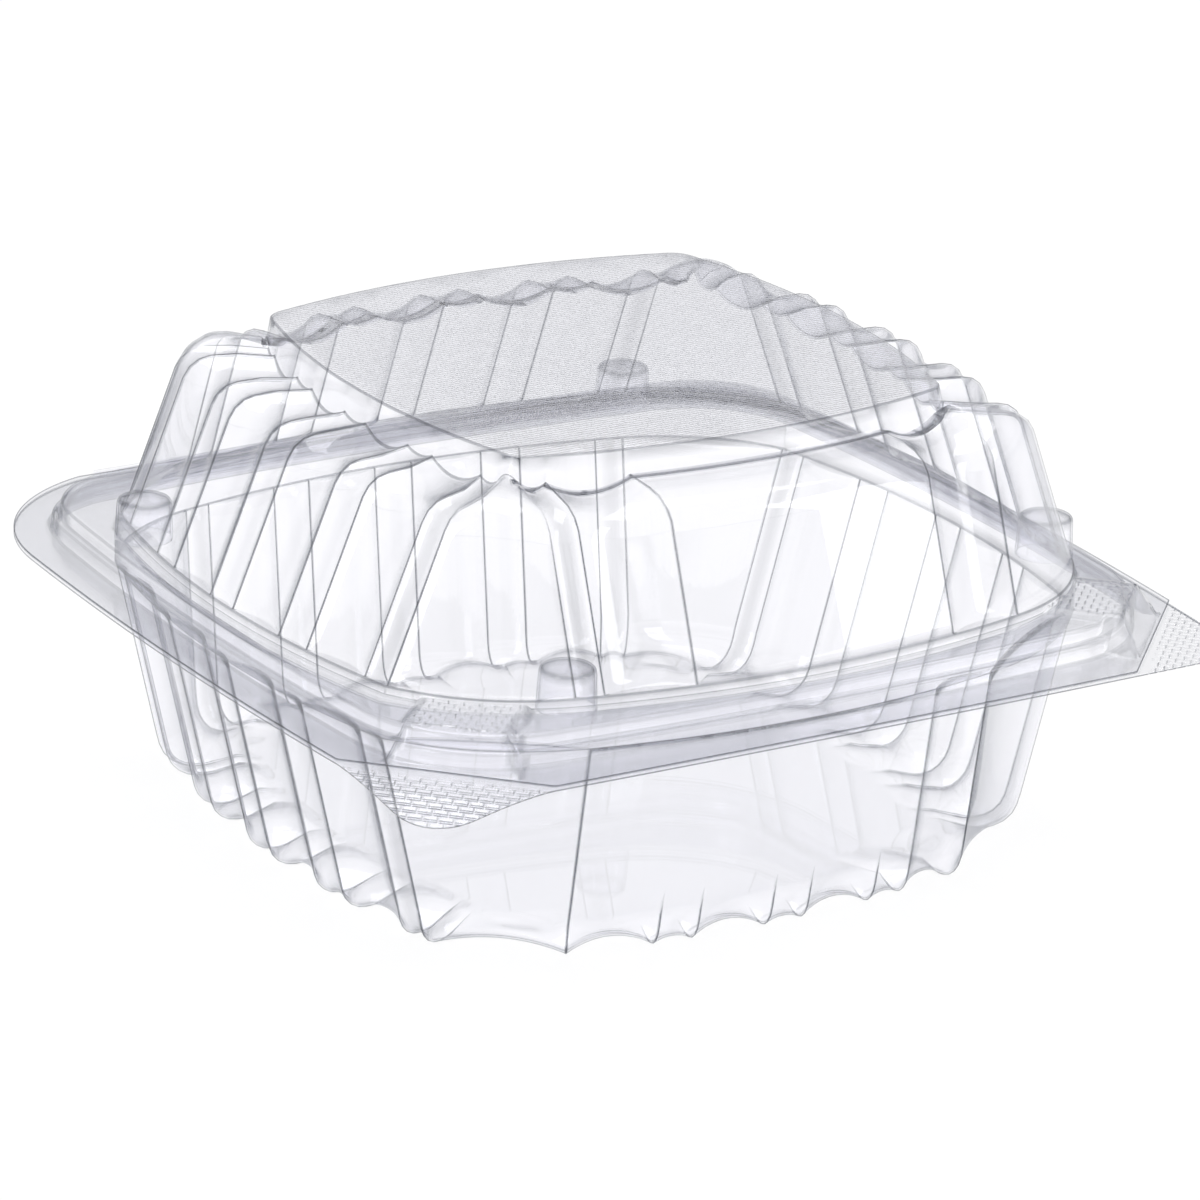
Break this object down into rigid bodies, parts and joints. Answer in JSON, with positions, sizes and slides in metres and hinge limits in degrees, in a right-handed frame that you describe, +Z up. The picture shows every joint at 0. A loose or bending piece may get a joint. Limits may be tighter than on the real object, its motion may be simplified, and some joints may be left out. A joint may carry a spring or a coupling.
{
  "type": "plastic clamshell pack",
  "caption": "Clear hinged-lid food pack with fluted walls, a plain front window, corner lift tabs and a raised top panel for stacking.",
  "frame": {"origin": "on the table, under the middle of the closed pack's box", "axes": "+Z up, -Y towards the front with the two lift tabs, +Y towards the hinge"},
  "size_m": [0.152, 0.148, 0.0738],
  "materials": {
    "clear_sheet": "thin clear polystyrene sheet, drawn over a polished mould"
  },
  "bodies": {
    "base": {"base_tray": "clear_sheet"},
    "lid": {"lid": "clear_sheet"}
  },
  "joints": [
    {"name": "hinge", "type": "hinge", "parent": "base", "child": "lid", "pos_m": [0, 0.07335, 0.03705], "axis": [-1, 0, 0], "range_deg": [0, 180]}
  ]
}
